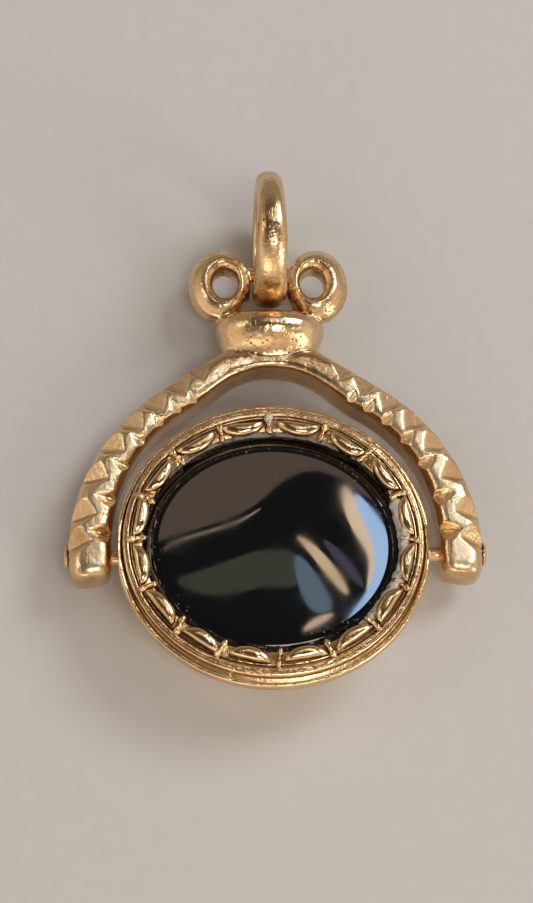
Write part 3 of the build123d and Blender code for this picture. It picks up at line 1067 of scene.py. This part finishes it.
# Cards: radiance and an outline in millimetres on the stone, where the camera sees the card mirrored. Each
# hangs a step lower than the one before, and the first one hangs highest over the floor
CARD_HEIGHT = 400.0
CARD_STEP = 2.0
CARDS = (
    ("brown card", (1.2, 0.88, 0.62), (
        (-7.6, 0.0), (-7.3, 3.0), (-5.0, 5.6), (-1.3, 7.0), (2.6, 6.9), (6.0, 5.0),
        (6.9, 2.6), (5.9, 2.7), (4.7, 3.9), (3.0, 4.75), (1.6, 4.6), (0.4, 3.85),
        (-0.8, 2.6), (-2.2, 1.75), (-4.3, 1.1), (-6.2, 0.55),
    )),
    ("pale line", (4.0, 3.2, 2.3), (
        (-6.75, -0.5), (-6.2, 0.25), (-4.1, 0.86), (-2.0, 1.46), (-0.7, 2.35), (-0.6, 2.28),
        (-1.9, 1.34), (-4.0, 0.74), (-6.1, 0.12),
    )),
    ("green card", (0.62, 0.68, 0.44), (
        (-6.2, -2.05), (-4.4, -1.6), (-2.6, -0.95), (-1.1, -0.35), (0.8, -0.25), (1.7, -0.8),
        (1.5, -2.9), (-0.3, -2.5), (-1.5, -2.8), (-3.2, -3.2), (-4.9, -2.9),
    )),
    ("blue card", (1.5, 2.1, 2.7), (
        (1.1, -0.4), (1.9, -0.95), (2.9, -2.5), (3.7, -4.15), (2.2, -4.35), (1.6, -3.3), (1.3, -2.2),
    )),
    ("cream strip", (9.0, 6.6, 4.0), (
        (1.1, 0.75), (2.3, 0.15), (3.5, -1.2), (4.5, -2.95), (4.2, -3.3), (3.1, -1.95), (2.05, -0.45),
    )),
    ("violet strip", (0.8, 0.76, 1.05), (
        (2.6, 0.65), (4.0, -0.3), (5.1, -1.9), (5.4, -2.9), (4.7, -2.3), (3.6, -1.0),
    )),
    ("cream edge", (11.0, 8.2, 5.4), (
        (4.15, 3.95), (4.75, 3.5), (5.2, 2.1), (5.88, 0.55), (6.18, -0.7), (6.0, -2.1), (5.3, -3.5),
        (5.55, -2.1), (5.72, -0.7), (4.9, 0.5), (4.2, 2.1),
    )),
    ("sky card", (5.6, 8.2, 12.0), (
        (4.75, 3.7), (6.15, 2.1), (7.0, 0.6), (7.3, -0.7), (7.2, -2.4), (6.2, -3.9), (4.3, -5.2),
        (4.2, -4.5), (5.25, -3.3), (5.88, -2.05), (6.06, -0.7), (5.76, 0.6), (5.06, 2.15),
    )),
    ("pink card", (9.0, 6.4, 4.6), ((1.2, -5.6), (2.2, -4.45), (3.8, -4.1), (2.8, -4.9))),
)

# Soft lights: place and width and height in millimetres, radiance and colour
SOFTBOXES = (
    ("key", (360, 240, 430), (270, 270), 7.0, (0.95, 0.97, 1.0)),
    ("low right", (430, -330, 230), (230, 330), 3.6, (1.0, 0.95, 0.88)),
    ("left", (-390, 70, 400), (200, 200), 1.6, (1.0, 0.95, 0.88)),
    ("front", (-120, -470, 200), (300, 160), 1.6, (1.0, 0.82, 0.62)),
    ("near the camera", (90, -220, 520), (180, 180), 6.0, (1.0, 0.97, 0.92)),
)

# Light from all round: the sine of a height over the horizon, and the level there
WORLD_LEVELS = ((0.01, 0.55), (0.25, 1.0), (0.55, 0.75), (0.80, 0.24), (0.93, 0.07))
WORLD_TINT = (1.0, 0.84, 0.68)


def mirrored_place(x, y, level):
    """The place at a level over the floor that the camera sees mirrored at a place on the front stone."""
    place = SETTING_CENTRE + Vector((x, y, dome_height(x, y)))
    normal = Vector((x / DOME_RADIUS, y / DOME_RADIUS, 1)).normalized()
    ray = (place - CAMERA_PLACE).normalized().reflect(normal)
    return place + ray * ((level - place.z) / ray.z)


def card(name, radiance, outline, level):
    """A softly glowing card over the fob that only reflections and light see."""
    bm = bmesh.new()
    outer = [bm.verts.new(mirrored_place(*place, level)) for place in outline]
    edges = [bm.edges.new(pair) for pair in zip(outer, outer[1:] + outer[:1])]
    bmesh.ops.subdivide_edges(bm, edges=edges, cuts=3)
    for _ in range(5):
        bmesh.ops.smooth_vert(
            bm, verts=bm.verts[:], factor=0.5, use_axis_x=True, use_axis_y=True, use_axis_z=True
        )
    bmesh.ops.triangle_fill(bm, use_beauty=True, edges=bm.edges[:])
    mesh = mesh_of(bm, name)
    mesh.transform(Matrix.Scale(MM, 4))
    material, tree, shader = new_finish(name)
    tree.nodes.remove(shader)
    glow = add(tree, "ShaderNodeEmission", (("Color", (*radiance, 1.0)), ("Strength", 1.0)))
    tree.links.new(glow.outputs["Emission"], tree.nodes["Material Output"].inputs["Surface"])
    mesh.materials.append(material)
    made = bpy.data.objects.new(name, mesh)
    made.visible_camera = False
    made.visible_shadow = False
    bpy.context.scene.collection.objects.link(made)


def softbox(name, place, size, radiance, colour):
    """A soft oval light aimed at the fob."""
    light = bpy.data.lights.new(name, "AREA")
    light.shape = "ELLIPSE"
    light.size, light.size_y = (side * MM for side in size)
    light.energy = radiance * math.pi * math.pi / 4 * light.size * light.size_y
    light.color = colour
    lamp = bpy.data.objects.new(name, light)
    lamp.location = Vector(place) * MM
    lamp.rotation_euler = (-Vector(place)).to_track_quat("-Z", "Y").to_euler()
    bpy.context.scene.collection.objects.link(lamp)


def studio_world():
    """Warm soft light from all round, dimmer overhead and beyond the bail ring."""
    world = bpy.data.worlds.new("studio")
    world.use_nodes = True
    tree = world.node_tree
    background = tree.nodes["Background"]
    direction = add(tree, "ShaderNodeTexCoord").outputs["Generated"]
    axes = add(tree, "ShaderNodeSeparateXYZ", (("Vector", direction),)).outputs
    ramp = add(tree, "ShaderNodeValToRGB", (("Fac", axes["Z"]),))
    for height, level in WORLD_LEVELS:
        stop = ramp.color_ramp.elements.new(height)
        stop.color = (*(level * tint for tint in WORLD_TINT), 1)
    for spare in (ramp.color_ramp.elements[-1], ramp.color_ramp.elements[0]):
        ramp.color_ramp.elements.remove(spare)
    tree.links.new(ramp.outputs["Color"], background.inputs["Color"])
    tree.links.new(mapped(tree, axes["Y"], -0.2, 0.75, 1.0, 0.35), background.inputs["Strength"])
    return world


def photo_camera():
    """The camera, leaning and turned as the fob was seen."""
    forward = -CAMERA_TOWARDS
    up = (Vector((0, 1, 0)) - forward * forward.y).normalized()
    right = forward.cross(up)
    roll = math.radians(CAMERA_ROLL)
    turned_right = math.cos(roll) * right + math.sin(roll) * up
    turned_up = -math.sin(roll) * right + math.cos(roll) * up
    axes = Matrix((turned_right, turned_up, CAMERA_TOWARDS)).transposed().to_4x4()
    camera = bpy.data.objects.new("camera", bpy.data.cameras.new("camera"))
    camera.matrix_world = Matrix.Translation(CAMERA_PLACE * MM) @ axes
    camera.data.sensor_width = 36
    camera.data.lens = FOCAL_PIXELS / IMAGE_HEIGHT * camera.data.sensor_width
    camera.data.clip_start = 0.01
    camera.data.clip_end = 10
    return camera


class FOB_OT_stage(bpy.types.Operator):
    """Build the floor, the soft lights and the camera"""

    bl_idname = "fob.stage"
    bl_label = "Stage"

    def execute(self, context):
        bm = bmesh.new()
        bmesh.ops.create_grid(bm, x_segments=1, y_segments=1, size=1.5)
        floor = bpy.data.objects.new("floor", mesh_of(bm, "floor"))
        floor.data.materials.append(floor_finish())
        context.scene.collection.objects.link(floor)
        context.scene.world = studio_world()
        for step, (name, radiance, outline) in enumerate(CARDS):
            card(name, radiance, outline, CARD_HEIGHT - CARD_STEP * step)
        for settings in SOFTBOXES:
            softbox(*settings)
        camera = photo_camera()
        context.scene.collection.objects.link(camera)
        context.scene.camera = camera
        context.scene.view_settings.view_transform = "Standard"
        return {"FINISHED"}


class FOB_PT_panel(bpy.types.Panel):
    """The fob's pieces and settings"""

    bl_idname = "FOB_PT_panel"
    bl_label = "Spinner Fob"
    bl_space_type = "VIEW_3D"
    bl_region_type = "UI"
    bl_category = "Fob"

    def draw(self, context):
        layout = self.layout
        for group in (context.scene.fob_sizes, context.scene.fob_colours):
            for name in group.bl_rna.properties.keys():
                if name not in ("rna_type", "name"):
                    layout.prop(group, name)
        for operator in BUILD_ORDER:
            layout.operator(operator.bl_idname)


BUILD_ORDER = (
    FOB_OT_stage,
    FOB_OT_yoke,
    FOB_OT_bail,
    FOB_OT_setting,
    FOB_OT_lunettes,
    FOB_OT_stones,
    FOB_OT_residue,
    FOB_OT_pins,
)
CLASSES = (FobSizes, FobColours, *BUILD_ORDER, FOB_PT_panel)


def register():
    for cls in CLASSES:
        bpy.utils.register_class(cls)
    bpy.types.Scene.fob_sizes = PointerProperty(type=FobSizes)
    bpy.types.Scene.fob_colours = PointerProperty(type=FobColours)


def unregister():
    del bpy.types.Scene.fob_colours
    del bpy.types.Scene.fob_sizes
    for cls in reversed(CLASSES):
        bpy.utils.unregister_class(cls)


def main():
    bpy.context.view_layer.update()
    register()
    for operator in BUILD_ORDER:
        category, name = operator.bl_idname.split(".")
        getattr(getattr(bpy.ops, category), name)()


if __name__ == "__main__":
    main()
